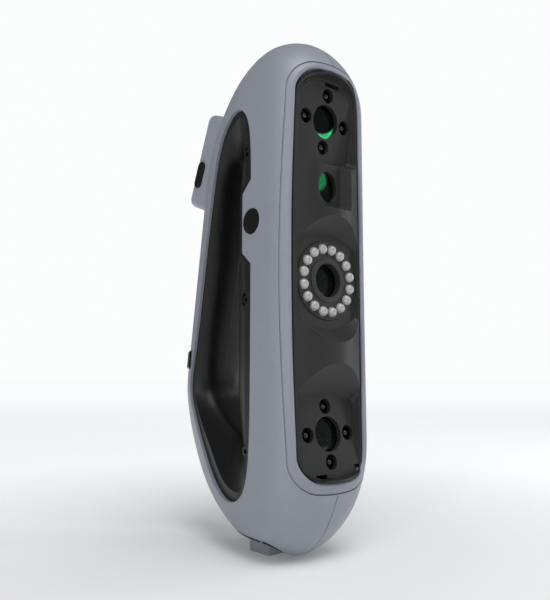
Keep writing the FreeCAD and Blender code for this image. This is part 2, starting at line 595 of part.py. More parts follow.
def make_camera(name, plate):
    """A lens barrel, its front glass, the camera housing and the sensor board behind it."""
    glass_back = LENS_FRONT + GLASS_THICKNESS
    sphere_r = (LENS_R ** 2 + GLASS_BULGE ** 2) / (2 * GLASS_BULGE)
    glass = rod(0, LENS_FRONT, glass_back, 0, LENS_R)
    glass = glass.common(Part.makeSphere(sphere_r, Vector(0, LENS_FRONT + sphere_r, 0)))
    parts[name + "_lens_glass"] = at_plate(glass, plate)
    barrel_body = tube(glass_back, LENS_BACK, LENS_R, LENS_R - BARREL_WALL)
    stop = tube(LENS_BACK - BARREL_STOP, LENS_BACK, LENS_R - BARREL_WALL, LENS_R - 2 * BARREL_WALL)
    parts[name + "_lens_barrel"] = at_plate(barrel_body.fuse(stop).removeSplitter(), plate)
    housing = box(-CAMERA_HALF, CAMERA_HALF, LENS_BACK, CAMERA_BACK, -CAMERA_HALF, CAMERA_HALF)
    housing = rounded(housing, 1.5, along(Y_AXIS))
    parts[name + "_camera_housing"] = at_plate(housing, plate)
    half = CAMERA_HALF + 1.0
    board = box(-half, half, CAMERA_BACK, CAMERA_BACK + BOARD, -half, half)
    parts[name + "_sensor_board"] = at_plate(board, plate)


def make_projector():
    """The oval projector window and the light engine behind it."""
    lens = oval(PROJECTOR_HOLE[0] + 0.8, PROJECTOR_HOLE[1] + 0.8, PANEL_WALL + 0.1, PANEL_WALL + 2.1)
    parts["projector_lens"] = at_plate(lens, PROJECTOR)
    engine = box(-PROJECTOR_HALF, PROJECTOR_HALF, PANEL_WALL + 2.1, PROJECTOR_BACK, -9.5, 9.5)
    parts["projector_engine"] = at_plate(rounded(engine, 1.5, along(Y_AXIS)), PROJECTOR)


# ---- inside ----
def make_frame():
    """The metal bench that holds the cameras in line, with its pads, lugs and spacers."""
    bench = box(-BENCH_HALF, BENCH_HALF, BENCH_FRONT_Y, BENCH_BACK_Y, BENCH_BOTTOM, BENCH_TOP)
    bench = rounded(bench, 4.0, along(Y_AXIS))
    for z, radius in BENCH_HOLES:
        bench = bench.cut(rod(0, BENCH_FRONT_Y - 1, BENCH_BACK_Y + 1, z, radius))
    behind = box(-40, 40, FRONT_Y, BENCH_BACK_Y, 0, 260)
    for plate in (TOP_CAMERA, TEXTURE_CAMERA, BOTTOM_CAMERA):
        pad = box(-PAD_HALF, PAD_HALF, CAMERA_BACK + BOARD, CAMERA_BACK + 12, -PAD_HALF, PAD_HALF)
        bench = bench.fuse(at_plate(pad, plate).common(behind))
    pad = box(-PAD_HALF, PAD_HALF, PROJECTOR_BACK, PROJECTOR_BACK + 6, -PAD_HALF, PAD_HALF)
    bench = bench.fuse(at_plate(pad, PROJECTOR).common(behind))
    for z in CORE_SCREW_Z:
        lug = box(-LUG_X, LUG_X, BENCH_FRONT_Y, LUG_BACK_Y, z - LUG_HALF, z + LUG_HALF)
        bench = bench.fuse(lug)
        bench = bench.cut(Part.makeCylinder(SCREW_SHANK_R + 0.05, 80, Vector(-40, CORE_SCREW_Y, z), X_AXIS)
                          .cut(box(-SCREW_TIP_X + 0.5, SCREW_TIP_X - 0.5, -40, 0, 0, 260)))
    for x in (-POST_X, POST_X):
        for z in POST_Z:
            bench = bench.cut(rod(x, BENCH_FRONT_Y - 1, BENCH_BACK_Y + 1, z, SCREW_SHANK_R + 0.15))
    for x in (-SPACER_X, SPACER_X):
        for z in SPACER_Z:
            bench = bench.fuse(rod(x, BENCH_BACK_Y - 0.5, BOARD_Y, z, 2.4))
    parts["internal_frame"] = bench.removeSplitter()

    screws = []
    for x in (-POST_X, POST_X):
        for z in POST_Z:
            head = rod(x, BENCH_BACK_Y, BENCH_BACK_Y + SCREW_HEAD_H, z, SCREW_HEAD_R)
            shank = rod(x, BENCH_FRONT_Y - POST_HOLE_DEPTH + 1, BENCH_BACK_Y, z, SCREW_SHANK_R)
            screws.append(head.fuse(shank))
    parts["frame_screws"] = Part.makeCompound(screws)


def make_boards():
    """The processing board on its spacers, with a finned heat sink."""
    low, high = SPACER_Z[0] - 4, SPACER_Z[-1] + 4
    board = box(-BOARD_HALF, BOARD_HALF, BOARD_Y, BOARD_Y + BOARD, low, high)
    parts["main_board"] = rounded(board, 2.0, along(Y_AXIS))
    base_y = BOARD_Y + BOARD
    sink = box(-SINK_HALF, SINK_HALF, base_y, base_y + FIN_THICKNESS, SINK_BOTTOM, SINK_TOP)
    pitch = (2 * SINK_HALF - FIN_THICKNESS) / (FIN_COUNT - 1)
    for i in range(FIN_COUNT):
        x = -SINK_HALF + i * pitch
        sink = sink.fuse(box(x, x + FIN_THICKNESS, base_y, base_y + SINK_HEIGHT, SINK_BOTTOM, SINK_TOP))
    parts["heat_sink"] = sink.removeSplitter()


# ---- pod on the upper back ----
def pill(half_width, half_height, x0, x1, y, z):
    """A pill-shaped prism along X, upright, in the pod's frame."""
    low, high = z - half_height + half_width, z + half_height - half_width
    front, rear = y - half_width, y + half_width
    edges = [
        Part.LineSegment(Vector(x0, rear, low), Vector(x0, rear, high)),
        Part.Arc(Vector(x0, rear, high), Vector(x0, y, z + half_height), Vector(x0, front, high)),
        Part.LineSegment(Vector(x0, front, high), Vector(x0, front, low)),
        Part.Arc(Vector(x0, front, low), Vector(x0, y, z - half_height), Vector(x0, rear, low)),
    ]
    outline = Part.Wire([edge.toShape() for edge in edges])
    return Part.Face(outline).extrude(Vector(x1 - x0, 0, 0))


def make_pod(body):
    """The grey status pod with its display, buttons and side key."""
    block = box(-POD_HALF_WIDTH, POD_HALF_WIDTH, -POD_DEPTH, 0, -POD_HALF_HEIGHT, POD_HALF_HEIGHT)
    block = rounded(block, POD_RADIUS, along(Y_AXIS))
    block = rounded(block, POD_EDGE, lambda edge: edge.BoundBox.YMin > -0.01)
    inner = box(-POD_HALF_WIDTH + POD_WALL, POD_HALF_WIDTH - POD_WALL, -POD_DEPTH - 1, -POD_WALL,
                -POD_HALF_HEIGHT + POD_WALL, POD_HALF_HEIGHT - POD_WALL)
    inner = rounded(inner, POD_RADIUS - POD_WALL, along(Y_AXIS))
    housing = block.cut(inner)
    housing = housing.cut(box(-DISPLAY_HALF - FIT_GAP, DISPLAY_HALF + FIT_GAP, -DISPLAY_DEPTH, 1,
                              DISPLAY_BOTTOM - FIT_GAP, DISPLAY_TOP + FIT_GAP))
    for name, x, z, radius, proud, travel in POD_BUTTONS:
        housing = housing.cut(rod(x, -POD_WALL - 1, 1, z, radius + FIT_GAP))
        cap = rod(x, BUTTON_BACK, proud, z, radius)
        cap = rounded(cap, 0.5, lambda edge, y=proud: edge.BoundBox.YMin > y - 0.01)
        cap = cap.fuse(rod(x, BUTTON_BACK, BUTTON_BACK + 0.9, z, radius + 0.7))
        parts[name] = at_plate(cap.removeSplitter(), POD)
    key_back = -POD_HALF_WIDTH + POD_WALL
    housing = housing.cut(pill(KEY_HALF_WIDTH + FIT_GAP, KEY_HALF_HEIGHT + FIT_GAP,
                               -POD_HALF_WIDTH - 1, key_back + 1, KEY_Y, KEY_Z))
    key = pill(KEY_HALF_WIDTH, KEY_HALF_HEIGHT, -POD_HALF_WIDTH - KEY_PROUD, key_back + 0.2, KEY_Y, KEY_Z)
    key = rounded(key, 0.4, lambda edge: edge.BoundBox.XMax < -POD_HALF_WIDTH - KEY_PROUD + 0.01)
    key = key.fuse(pill(KEY_HALF_WIDTH - KEY_STOP, KEY_HALF_HEIGHT + KEY_STOP, key_back + KEY_STOP_GAP,
                        key_back + KEY_STOP_GAP + KEY_STOP, KEY_Y, KEY_Z))
    parts["side_key"] = at_plate(key.removeSplitter(), POD)
    parts["pod_housing"] = at_plate(housing, POD).cut(body)
    glass = box(-DISPLAY_HALF, DISPLAY_HALF, -DISPLAY_DEPTH, -0.2, DISPLAY_BOTTOM, DISPLAY_TOP)
    parts["pod_display"] = at_plate(rounded(glass, 1.2, along(Y_AXIS)), POD)
    board = box(-7.6, 7.6, POD_BOARD_Y, POD_BOARD_Y + 1.2, -21, 21)
    parts["pod_board"] = at_plate(rounded(board, 1.5, along(Y_AXIS)), POD)
    switches = []
    for name, x, z, radius, proud, travel in POD_BUTTONS:
        switches.append(at_plate(rod(x, POD_BOARD_Y + 1.2, BUTTON_BACK - travel - 0.15, z, 1.6), POD))
    parts["pod_switches"] = Part.makeCompound(switches)


# ---- foot, port and strap band ----
def foot_stem(grow=0.0):
    """The stem that carries the foot, grown sideways and upwards."""
    return box(-STEM_HALF - grow, STEM_HALF + grow, FOOT_FRONT_Y + STEM_INSET - grow,
               FOOT_REAR_Y - STEM_INSET + grow, 1, STEM_TOP + grow)


def make_foot():
    """The foot block, a small gap below the body, with a stem up into it."""
    foot = box(-FOOT_HALF_WIDTH, FOOT_HALF_WIDTH, FOOT_FRONT_Y, FOOT_REAR_Y, 0, NOTCH_TOP - FOOT_SHADOW)
    foot = rounded(foot, FOOT_RADIUS, along(Z_AXIS))
    parts["foot_block"] = foot.fuse(foot_stem()).removeSplitter()


def make_port(body):
    """The round data socket in the slope under the grip."""
    centre = Vector(0, PORT_Y, 0)
    shell = Part.makeCylinder(PORT_R, PORT_TOP, centre).common(body)
    bore = Part.makeCylinder(PORT_R - PORT_WALL, PORT_TOP - 2, centre)
    parts["data_port"] = shell.cut(bore)
    insert = Part.makeCylinder(PORT_R - PORT_WALL, 1.2, Vector(0, PORT_Y, PORT_TOP - 3.2))
    parts["port_insert"] = insert


def make_band():
    """The thin black band that crosses the back of the grip."""
    slab = box(0, 40, BAND_FRONT_Y, 90, BAND_BOTTOM, BAND_TOP)
    half = half_body(-BAND_PROUD).common(slab)
    band = half.fuse(mirrored(half)).removeSplitter()
    band = rounded(band, BAND_ROUNDING, lambda edge: edge.BoundBox.ZLength < 0.01
                   and edge.BoundBox.YMax > SPINE_Y - 8 and edge.BoundBox.XLength > 5)
    inner = half_body()
    parts["grip_band"] = band.cut(inner).cut(mirrored(inner))


scanner_body = make_casing()
make_core_screws()
make_badges()
make_panel()
make_ring_lights()
for outer_name, outer_plate in (("top", TOP_CAMERA), ("bottom", BOTTOM_CAMERA)):
    make_camera(outer_name, outer_plate)
    make_tracking_lights(outer_name, outer_plate)
make_camera("texture", TEXTURE_CAMERA)
make_projector()
make_frame()
make_boards()
make_pod(scanner_body)
make_foot()
make_port(scanner_body)
make_band()

os.makedirs("parts", exist_ok=True)
for part_name, part_shape in parts.items():
    solids = len(part_shape.Solids)
    print(part_name, "valid" if part_shape.isValid() else "NOT VALID", solids, round(part_shape.Volume))
    part_shape.translate(Vector(0, -DEPTH_CENTRE_Y, 0))
    part_shape.exportStep("parts/" + part_name + ".step")
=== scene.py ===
import json
import math

import bmesh
import bpy
from mathutils import Matrix, Vector
from mathutils.bvhtree import BVHTree
from mathutils.geometry import convex_hull_2d


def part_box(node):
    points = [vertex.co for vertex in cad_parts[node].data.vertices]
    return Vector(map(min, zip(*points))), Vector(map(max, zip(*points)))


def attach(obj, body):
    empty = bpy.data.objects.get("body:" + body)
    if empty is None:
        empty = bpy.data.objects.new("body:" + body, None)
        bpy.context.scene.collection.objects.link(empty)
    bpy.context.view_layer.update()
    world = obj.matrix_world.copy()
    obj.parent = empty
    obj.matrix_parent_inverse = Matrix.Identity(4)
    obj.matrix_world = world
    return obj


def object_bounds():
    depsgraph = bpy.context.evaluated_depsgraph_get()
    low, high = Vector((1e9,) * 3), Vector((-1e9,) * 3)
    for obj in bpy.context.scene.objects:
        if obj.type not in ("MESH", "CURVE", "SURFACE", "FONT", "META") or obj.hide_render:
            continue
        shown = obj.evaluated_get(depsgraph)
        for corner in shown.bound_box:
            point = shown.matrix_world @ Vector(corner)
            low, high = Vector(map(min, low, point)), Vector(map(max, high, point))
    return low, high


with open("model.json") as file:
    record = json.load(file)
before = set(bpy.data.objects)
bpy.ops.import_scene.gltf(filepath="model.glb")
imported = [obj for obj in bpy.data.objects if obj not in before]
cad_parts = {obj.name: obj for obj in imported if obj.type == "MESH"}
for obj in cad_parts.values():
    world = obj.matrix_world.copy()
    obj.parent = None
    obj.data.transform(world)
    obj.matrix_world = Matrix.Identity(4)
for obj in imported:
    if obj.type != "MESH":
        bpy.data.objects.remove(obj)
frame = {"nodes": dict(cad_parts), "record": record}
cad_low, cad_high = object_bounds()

# Looks of a handheld 3-D scanner. Metres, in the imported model's frame: +Z up, the lenses face -Y.
# Sizes of details are in millimetres, and MM turns them into metres.
MM = 0.001
BODY = "scanner_body"
scene = bpy.context.scene
nodes = frame["nodes"]


# ---- camera, floor and light ----
AIM = Vector((0.0, -0.0137, 0.1231))
VIEW_AZIMUTH, VIEW_ELEVATION, VIEW_DISTANCE = -39.4, -7.0, 0.3295
LENS_MM = 38.5
CLIP_NEAR, CLIP_FAR = 0.01, 100.0
SKY_SEEN, SKY_SEEN_STRENGTH = (0.99, 0.995, 1.0, 1), 0.98     # what the camera sees behind the object
SKY_LIT, SKY_LIT_STRENGTH = (0.93, 0.96, 1.0, 1), 0.20        # what lights the object
FLOOR_RADIUS, FLOOR_SIDES, FLOOR_DROP = 30.0, 96, 0.0002
PAPER_DARK, PAPER_LIGHT = (0.88, 0.883, 0.89, 1), (0.90, 0.903, 0.908, 1)
NEAR_GLOW, FAR_GLOW = (0.10, 0.42), 0.19      # light the paper gives off, near the object and far away; it is least at the object, a painted shadow round it, and grows outwards, painted light where the lamps fall off
GLOW_START, GLOW_MIDDLE, GLOW_END = 0.02, 0.34, 2.4
# name, azimuth and elevation in degrees, distance, width, height, power
STRIPS = (("left_strip", -64, 10, 1.0, 0.12, 1.1, 1.9),
          ("front_soft", -30, 52, 1.2, 0.6, 0.6, 2.6),
          ("right_strip", 66, 10, 0.9, 0.16, 1.2, 2.4))


def outward(azimuth, elevation):
    """Unit vector from the object towards a viewer; azimuth 0 looks along +Y."""
    a, e = math.radians(azimuth), math.radians(elevation)
    return Vector((math.sin(a) * math.cos(e), -math.cos(a) * math.cos(e), math.sin(e)))


def add_camera():
    data = bpy.data.cameras.new("camera")
    data.lens = LENS_MM
    data.clip_start, data.clip_end = CLIP_NEAR, CLIP_FAR
    camera = bpy.data.objects.new("camera", data)
    scene.collection.objects.link(camera)
    back = outward(VIEW_AZIMUTH, VIEW_ELEVATION)
    camera.location = AIM + back * VIEW_DISTANCE
    camera.rotation_mode = "QUATERNION"
    camera.rotation_quaternion = (-back).to_track_quat("-Z", "Y")
    scene.camera = camera


def add_area(name, azimuth, elevation, distance, width, height, power):
    data = bpy.data.lights.new(name, "AREA")
    data.shape = "RECTANGLE"
    data.size, data.size_y = width, height
    data.energy = power
    lamp = bpy.data.objects.new(name, data)
    scene.collection.objects.link(lamp)
    back = outward(azimuth, elevation)
    lamp.location = AIM + back * distance
    lamp.rotation_mode = "QUATERNION"
    lamp.rotation_quaternion = (-back).to_track_quat("-Z", "Y")
    lamp.visible_camera = False


def add_sun(name, azimuth, elevation, strength, spread):
    data = bpy.data.lights.new(name, "SUN")
    data.energy = strength
    data.angle = math.radians(spread)
    lamp = bpy.data.objects.new(name, data)
    scene.collection.objects.link(lamp)
    lamp.rotation_mode = "QUATERNION"
    lamp.rotation_quaternion = (-outward(azimuth, elevation)).to_track_quat("-Z", "Y")


def add_world():
    world = bpy.data.worlds.new("studio")
    scene.world = world
    world.use_nodes = True
    tree = world.node_tree
    tree.nodes.clear()
    out = tree.nodes.new("ShaderNodeOutputWorld")
    seen = tree.nodes.new("ShaderNodeBackground")
    seen.inputs["Color"].default_value = SKY_SEEN
    seen.inputs["Strength"].default_value = SKY_SEEN_STRENGTH
    lit = tree.nodes.new("ShaderNodeBackground")
    lit.inputs["Color"].default_value = SKY_LIT
    lit.inputs["Strength"].default_value = SKY_LIT_STRENGTH
    path = tree.nodes.new("ShaderNodeLightPath")
    mix = tree.nodes.new("ShaderNodeMixShader")
    tree.links.new(path.outputs["Is Camera Ray"], mix.inputs[0])
    tree.links.new(lit.outputs[0], mix.inputs[1])
    tree.links.new(seen.outputs[0], mix.inputs[2])
    tree.links.new(mix.outputs[0], out.inputs["Surface"])


# ---- node helpers ----
BEVEL_SAMPLES = 6
SEAM_DARK, SEAM_CLEAR = 0.10, 0.26      # half-width of the mid line where it is darkest and where it ends


class Shader:
    """A material with one Principled shader and short ways to add and link nodes."""

    def __init__(self, name):
        self.material = bpy.data.materials.new(name)
        self.material.use_nodes = True
        self.tree = self.material.node_tree
        self.tree.nodes.clear()
        output = self.tree.nodes.new("ShaderNodeOutputMaterial")
        self.bsdf = self.tree.nodes.new("ShaderNodeBsdfPrincipled")
        self.tree.links.new(self.bsdf.outputs["BSDF"], output.inputs["Surface"])
        self.place = self.add("ShaderNodeTexCoord").outputs["Object"]

    def add(self, kind, settings=None, **sockets):
        made = self.tree.nodes.new(kind)
        for key, value in (settings or {}).items():
            setattr(made, key, value)
        for key, value in sockets.items():
            self.put(made.inputs[key.replace("_", " ")], value)
        return made

    def put(self, socket, value):
        if isinstance(value, bpy.types.NodeSocket):
            self.tree.links.new(value, socket)
        else:
            socket.default_value = value

    def set(self, **sockets):
        for key, value in sockets.items():
            self.put(self.bsdf.inputs[key.replace("_", " ")], value)

    def noise(self, scale, detail=4.0, rough=0.55, vector=None):
        made = self.add("ShaderNodeTexNoise", Scale=scale, Detail=detail, Roughness=rough,
                        Vector=vector or self.place)
        return made.outputs["Fac"]

    def remap(self, value, low, high, to_low, to_high):
        made = self.add("ShaderNodeMapRange", Value=value)
        for name, number in (("From Min", low), ("From Max", high), ("To Min", to_low), ("To Max", to_high)):
            made.inputs[name].default_value = number
        return made.outputs["Result"]

    def math(self, operation, a, b=0.0, c=0.0):
        made = self.add("ShaderNodeMath", {"operation": operation})
        for socket, value in zip(made.inputs, (a, b, c)):
            self.put(socket, value)
        return made.outputs[0]

    def mix(self, factor, a, b):
        made = self.add("ShaderNodeMix", {"data_type": "RGBA"})
        for index, value in ((0, factor), (6, a), (7, b)):
            self.put(made.inputs[index], value)
        return made.outputs[2]

    def bump(self, height, distance, strength=1.0, normal=None):
        made = self.add("ShaderNodeBump", Height=height, Distance=distance, Strength=strength)
        if normal:
            self.put(made.inputs["Normal"], normal)
        return made.outputs["Normal"]

    def rounded(self, radius):
        """The normal of the surface with its sharp edges softened, and how near an edge a point is."""
        bevel = self.add("ShaderNodeBevel", {"samples": BEVEL_SAMPLES}, Radius=radius)
        flat = self.add("ShaderNodeNewGeometry").outputs["Normal"]
        dot = self.add("ShaderNodeVectorMath", {"operation": "DOT_PRODUCT"})
        self.put(dot.inputs[0], bevel.outputs["Normal"])
        self.put(dot.inputs[1], flat)
        return bevel.outputs["Normal"], self.remap(dot.outputs["Value"], 1.0, 0.8, 0.0, 1.0)


def shade(colour, factor, lift=0.0):
    """A colour made lighter or darker, never brighter than white."""
    return tuple(min(1, c * factor + lift) for c in colour[:3]) + (1,)


def plastic(name, colour, rough, specular=0.5, grain=0.35, grain_height=0.02, worn=0.35, edge=0.35,
            shift=0.1, seam=False):
    """Moulded plastic: spark-eroded grain, slow changes of tone and gloss, and edges a little polished."""
    made = Shader(name)
    soft, near_edge = made.rounded(edge * MM)
    slow = made.noise(18, 5.0)
    mottled = made.noise(160, 6.0, 0.6)
    tone = made.math("MULTIPLY_ADD", slow, 0.6, made.math("MULTIPLY", mottled, 0.4))
    base = made.mix(made.remap(tone, 0.35, 0.65, 0, 1), shade(colour, 1 - shift), shade(colour, 1 + shift))
    rubbed = made.math("MULTIPLY", near_edge, made.remap(made.noise(420, 5.0, 0.65), 0.42, 0.62, 0, worn))
    base = made.mix(rubbed, base, shade(colour, 1.35, 0.012))
    gloss = made.remap(tone, 0.3, 0.7, rough + 0.05, rough - 0.05)
    gloss = made.math("SUBTRACT", gloss, made.math("MULTIPLY", rubbed, 0.12))
    fine = made.noise(1 / (grain * MM), 3.0, 0.5)
    if seam:
        across = made.add("ShaderNodeSeparateXYZ", Vector=made.place).outputs["X"]
        line = made.remap(made.math("ABSOLUTE", across), SEAM_DARK * MM, SEAM_CLEAR * MM, 1.0, 0.0)
        base = made.mix(line, base, shade(colour, 0.06))
        fine = made.math("SUBTRACT", fine, made.math("MULTIPLY", line, 4.0))
    made.set(Base_Color=base, Roughness=gloss, Normal=made.bump(fine, grain_height * MM, 0.6, soft))
    made.bsdf.inputs["Specular IOR Level"].default_value = specular
    return made


def metal(name, colour, rough, brushed=False):
    """Machined or anodised metal with fine tool marks."""
    made = Shader(name)
    soft, near_edge = made.rounded(0.2 * MM)
    stretch = made.add("ShaderNodeMapping", Vector=made.place)
    stretch.inputs["Scale"].default_value = (1, 1, 18 if brushed else 1)
    marks = made.noise(900, 4.0, 0.6, stretch.outputs["Vector"])
    slow = made.noise(60, 4.0)
    base = made.mix(slow, shade(colour, 0.8), colour)
    base = made.mix(made.math("MULTIPLY", near_edge, 0.4), base, shade(colour, 1.6, 0.05))
    made.set(Base_Color=base, Roughness=made.remap(marks, 0.3, 0.7, rough - 0.07, rough + 0.09),
             Normal=made.bump(marks, 0.006 * MM, 0.5, soft))
    made.bsdf.inputs["Metallic"].default_value = 1.0
    return made


def glossy(name, colour, rough=0.12, coat=0.5, specular=0.5):
    """Polished black plastic or glass with faint handling marks."""
    made = Shader(name)
    soft, near_edge = made.rounded(0.2 * MM)
    smears = made.noise(95, 7.0, 0.65)
    dust = made.remap(made.noise(1500, 2.0), 0.66, 0.72, 0, 0.25)
    base = made.mix(dust, colour, (0.25, 0.25, 0.25, 1))
    base = made.mix(made.math("MULTIPLY", near_edge, 0.3), base, shade(colour, 1, 0.05))
    made.set(Base_Color=base, Roughness=made.remap(smears, 0.3, 0.7, rough, rough + 0.12),
             Normal=made.bump(smears, 0.01 * MM, 0.15, soft))
    made.bsdf.inputs["Coat Weight"].default_value = coat
    made.bsdf.inputs["Coat Roughness"].default_value = 0.06
    made.bsdf.inputs["Specular IOR Level"].default_value = specular
    return made


def disc(made, across, up, centre, radius, blur=0.5):
    """1 inside a circle of the X-Z plane, 0 outside; centre, radius and blur are in millimetres."""
    du = made.math("SUBTRACT", across, centre[0] * MM)
    dv = made.math("SUBTRACT", up, centre[1] * MM)
    square = made.math("ADD", made.math("MULTIPLY", du, du), made.math("MULTIPLY", dv, dv))
    span = made.math("POWER", square, 0.5)
    return made.remap(span, (radius - blur) * MM, (radius + blur) * MM, 1.0, 0.0)


def glint_painted_glass(name):
    """Black lens glass with painted green glints, reflections given off as light: a crescent in the top lens,
    a patch in the projector.
    """
    made = Shader(name)
    parts = made.add("ShaderNodeSeparateXYZ", Vector=made.place).outputs
    across, up = parts["X"], parts["Z"]
    inner = disc(made, across, up, GLINT_CUT_DISC[:2], GLINT_CUT_DISC[2])
    crescent = made.math("MULTIPLY", disc(made, across, up, (0.0, TOP_LENS_Z), GLINT_CRESCENT_R),
                         made.math("SUBTRACT", 1.0, inner))
    patch = disc(made, across, up, GLINT_PATCH[:2], GLINT_PATCH[2], 0.8)
    speckle = made.remap(made.noise(900, 3.0), 0.35, 0.65, 0.45, 1.1)
    crescent = made.math("MULTIPLY", crescent, speckle)
    patch = made.math("MULTIPLY", patch, speckle)
    # the painted reflections: green light that the glass gives off, fixed in place on it
    glint = made.mix(patch, (0.0, 0.0, 0.0, 1), PAINTED_GLINT_DIM)
    glint = made.mix(crescent, glint, PAINTED_GLINT_BRIGHT)
    smears = made.noise(95, 7.0, 0.65)
    base = made.mix(smears, GLASS_DARK, (0.001, 0.004, 0.0025, 1))
    made.set(Base_Color=base, Emission_Color=glint, Roughness=made.remap(smears, 0.3, 0.7, 0.06, 0.14),
             Normal=made.bump(smears, 0.01 * MM, 0.1))
    made.bsdf.inputs["Emission Strength"].default_value = 0.9
    made.bsdf.inputs["Specular IOR Level"].default_value = 0.25
    return made


def lamp_dome(name, colour):
    """Diffusing epoxy dome of a white light."""
    made = Shader(name)
    cloud = made.noise(700, 4.0)
    base = made.mix(cloud, shade(colour, 0.94), colour)
    made.set(Base_Color=base, Roughness=made.remap(cloud, 0.3, 0.7, 0.16, 0.26),
             Normal=made.bump(made.noise(2600, 2.0), 0.01 * MM, 0.2))
    made.bsdf.inputs["Specular IOR Level"].default_value = 1.0
    made.bsdf.inputs["Coat Weight"].default_value = 0.6
    made.bsdf.inputs["Coat Roughness"].default_value = 0.1
    return made


def board(name):
    """Green circuit board with tracks and pads."""
    made = Shader(name)
    cells = made.add("ShaderNodeTexVoronoi", {"feature": "DISTANCE_TO_EDGE"}, Vector=made.place, Scale=420.0)
    tracks = made.remap(cells.outputs["Distance"], 0.03, 0.05, 1.0, 0.0)
    base = made.mix(made.noise(90, 3.0), (0.008, 0.09, 0.035, 1), (0.012, 0.13, 0.05, 1))
    base = made.mix(tracks, base, (0.03, 0.2, 0.08, 1))
    made.set(Base_Color=base, Roughness=made.remap(tracks, 0, 1, 0.35, 0.5),
             Normal=made.bump(tracks, 0.03 * MM, 0.6))
    return made


# ---- one look for each material slot of the record ----
SHELL, BEZEL = (0.285, 0.305, 0.355, 1), (0.262, 0.282, 0.335, 1)
GLOSS_BLACK, GLASS_DARK = (0.003, 0.003, 0.0032, 1), (0.0006, 0.002, 0.0013, 1)
# colours of the painted green glints on the lens glass, given off as light
PAINTED_GLINT_DIM, PAINTED_GLINT_BRIGHT = (0.016, 0.21, 0.075, 1), (0.09, 0.78, 0.30, 1)
TOP_LENS_Z, GLINT_CRESCENT_R = 206.2, 7.9
GLINT_CUT_DISC = (-1.2, TOP_LENS_Z + 6.6, 11.7)     # x, z, radius of the disc cut from the top lens's painted glint, which leaves the crescent
GLINT_PATCH = (-4.2, 177.4, 5.6)                          # x, z, radius of the painted green glint in the projector
looks = {
    "shell_grey": plastic("shell_plastic", SHELL, 0.40, grain=0.45, worn=0.25, shift=0.035, seam=True),
    "bezel_grey": plastic("bezel_plastic", BEZEL, 0.42, grain=0.45, worn=0.25, shift=0.03),
    "core_black": plastic("core_plastic", (0.004, 0.004, 0.0043, 1), 0.36, 0.34, grain=0.6, worn=0.3,
                          grain_height=0.03, shift=0.12, seam=True),
    "panel_black": plastic("panel_plastic", (0.021, 0.021, 0.021, 1), 0.45, 0.36, grain=0.4, worn=0.3,
                           grain_height=0.02, shift=0.06, edge=0.45),
    "plate_black": plastic("plate_plastic", (0.024, 0.024, 0.024, 1), 0.45, 0.42, worn=0.3, shift=0.08),
    "button_rubber": plastic("button_rubber", (0.02, 0.02, 0.021, 1), 0.62, 0.35, grain=0.5, worn=0.4,
                             shift=0.1),
    "switch_plastic": plastic("switch_plastic", (0.012, 0.012, 0.012, 1), 0.5, worn=0.3),
    "key_black": glossy("key_gloss", GLOSS_BLACK, 0.22, 0.0, 0.22),
    "badge_black": glossy("badge_gloss", GLOSS_BLACK, 0.24, 0.0, 0.25),
    "display_glass": glossy("display_glass", (0.006, 0.007, 0.009, 1), 0.05, 0.8),
    "led_white": lamp_dome("led_white", (0.40, 0.40, 0.40, 1)),
    "led_clear": glossy("led_dark", (0.010, 0.010, 0.011, 1), 0.16, 0.1),
    "lens_barrel": metal("barrel_black", (0.004, 0.0045, 0.0045, 1), 0.5),
    "camera_metal": metal("camera_metal", (0.03, 0.03, 0.032, 1), 0.5),
    "frame_metal": metal("frame_metal", (0.6, 0.61, 0.63, 1), 0.35, True),
    "screw_steel": metal("screw_steel", (0.05, 0.05, 0.053, 1), 0.35),
    "port_metal": metal("port_metal", (0.42, 0.42, 0.43, 1), 0.3, True),
    "circuit_board": board("circuit_board"),
    "lens_glass": glossy("lens_dark", GLASS_DARK, 0.05, 0.0),
    # lens glass with painted green glints
    "coated_glass": glint_painted_glass("lens_painted_glint"),
}
# the shell's grey again, for its pieces that are moulded in one and have no line on the mid plane
MOULDED_IN_ONE = ("pod_housing", "foot_block")
plain_grey = plastic("shell_plastic_plain", SHELL, 0.40, grain=0.45, worn=0.25, shift=0.035)
for row in frame["record"]["subparts"]:
    mesh = nodes[row["node"]].data
    look = plain_grey if row["node"] in MOULDED_IN_ONE else looks[row["material_slot"]]
    mesh.materials.clear()
    mesh.materials.append(look.material)


# ---- small moulded details, sizes in millimetres ----
RAY_START = 0.2                                     # metres, well outside the object
BEAD_SIDES = 10
# the pod's rear face: its centre and lean, then the marks on it in its own frame (x, height z, outward -y)
POD_CENTRE, POD_TILT = Vector((0.0, 41.34, 209.7)), math.radians(23.1)
KEY_FACE_Y, BUTTON_FACE_Y, DISPLAY_FACE_Y = 0.9, 1.6, -0.16
MARK_X, MARK_Z, MARK_LONG, MARK_WIDE, MARK_THICK, MARK_CORNER = 4.8, -2.8, 2.6, 0.6, 0.16, 0.25
RING_Z, RING_R, RING_BEAD_R, RING_POINTS = -14.4, 3.1, 0.22, 48
BAR_HEIGHTS, BAR_WIDE, BAR_THICK, BAR_CORNER = (1.6, 3.0, 4.4, 5.8), 1.4, 0.12, 0.3
BAR_START_X, BAR_PITCH, BAR_FOOT_Z = 3.6, 2.4, 10.0
# the steps round the top of the front opening: its corner, then how far in and how thick they are
OPENING_TOP, OPENING_CORNER_R, CORNER_X, CORNER_Z = 227.2, 12.5, 8.0, 214.4
RIDGE_COUNT, RIDGE_START, RIDGE_PITCH, RIDGE_R, RIDGE_STEPS = 3, 1.3, 1.15, 0.36, 16
RIDGE_TOP_X, RIDGE_DROPS = (0.0, 2.5, 5.0), (3.0, 6.0, 9.0, 12.0)
